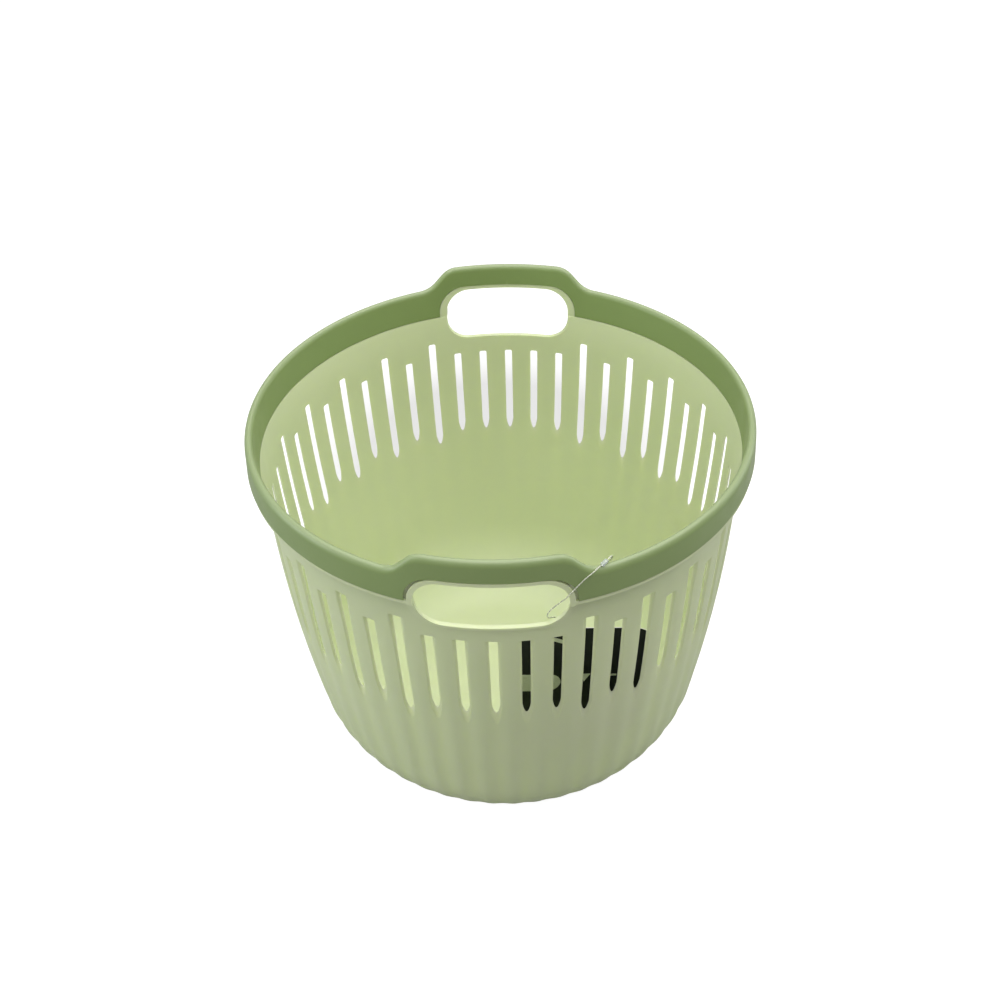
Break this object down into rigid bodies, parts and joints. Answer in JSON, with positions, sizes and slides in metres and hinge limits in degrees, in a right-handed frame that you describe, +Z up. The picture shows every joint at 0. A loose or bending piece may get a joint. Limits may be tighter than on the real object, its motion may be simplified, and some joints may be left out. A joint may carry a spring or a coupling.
{
  "type": "slotted round storage basket",
  "caption": "Round slotted plastic tub with a contrasting press-fitted rim ring, two raised cut-out handles and a card hang tag on a clear loop.",
  "frame": {"origin": "centre of the flat base's underside, on the surface that the basket stands on", "axes": "+Z up through the open mouth; the two handle holes lie on -Y (front, with the hang tag) and +Y (back)"},
  "size_m": [0.3816, 0.3806, 0.3255],
  "materials": {
    "body_green": "light sage green polypropylene, satin",
    "rim_green": "darker olive green polypropylene, satin",
    "card_dark": "near-black printed card",
    "nylon_clear": "clear nylon filament",
    "lock_clear": "translucent moulded nylon"
  },
  "bodies": {
    "basket": {"basket_body": "body_green", "rim_ring": "rim_green", "tag_loop": "nylon_clear", "tag_lock": "lock_clear"},
    "tag": {"tag_card": "card_dark"}
  },
  "joints": [
    {"name": "tag_swing", "type": "hinge", "parent": "basket", "child": "tag", "pos_m": [0.0556, -0.1405, 0.2142], "axis": [0.972, 0.1755, -0.1564], "range_deg": [0, 35]}
  ]
}
